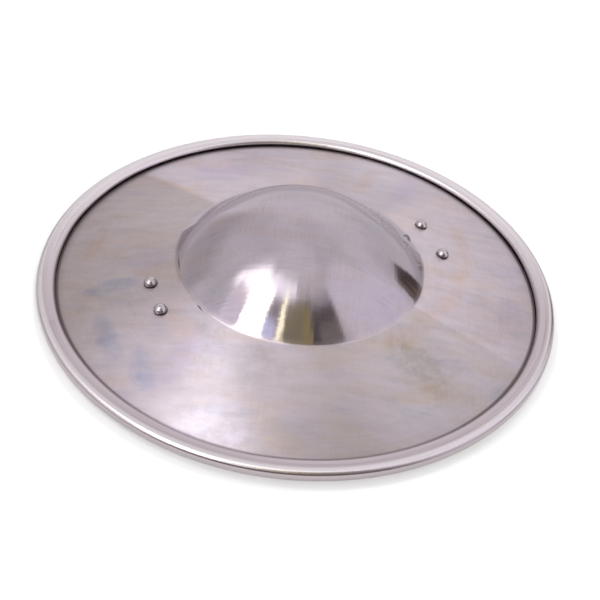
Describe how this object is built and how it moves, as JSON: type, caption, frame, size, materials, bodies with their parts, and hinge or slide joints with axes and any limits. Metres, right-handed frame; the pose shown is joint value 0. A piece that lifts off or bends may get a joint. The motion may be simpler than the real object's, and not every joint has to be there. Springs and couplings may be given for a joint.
{
  "type": "buckler shield",
  "caption": "Small round steel buckler: one raised sheet with a domed boss, a sloping face and a rolled rim, and a steel grip riveted across the hollow of the boss.",
  "frame": {"origin": "on the boss's axis, at the level that the rolled rim rests on", "axes": "+Z out of the boss, away from the hand; +X along the grip, towards the pair of rivets that are further apart; +Y across the grip"},
  "size_m": [0.356, 0.356, 0.0607],
  "materials": {
    "polished_steel": "bare steel, mirror-polished boss and rim, satin face with faint stains and scratches",
    "rivet_steel": "bright domed rivet heads",
    "grip_steel": "plain satin steel, worn brighter along its edges"
  },
  "bodies": {
    "root": {"shield_plate": "polished_steel", "grip": "grip_steel", "rivet_left_back": "rivet_steel", "rivet_left_front": "rivet_steel", "rivet_right_back": "rivet_steel", "rivet_right_front": "rivet_steel"}
  },
  "joints": []
}
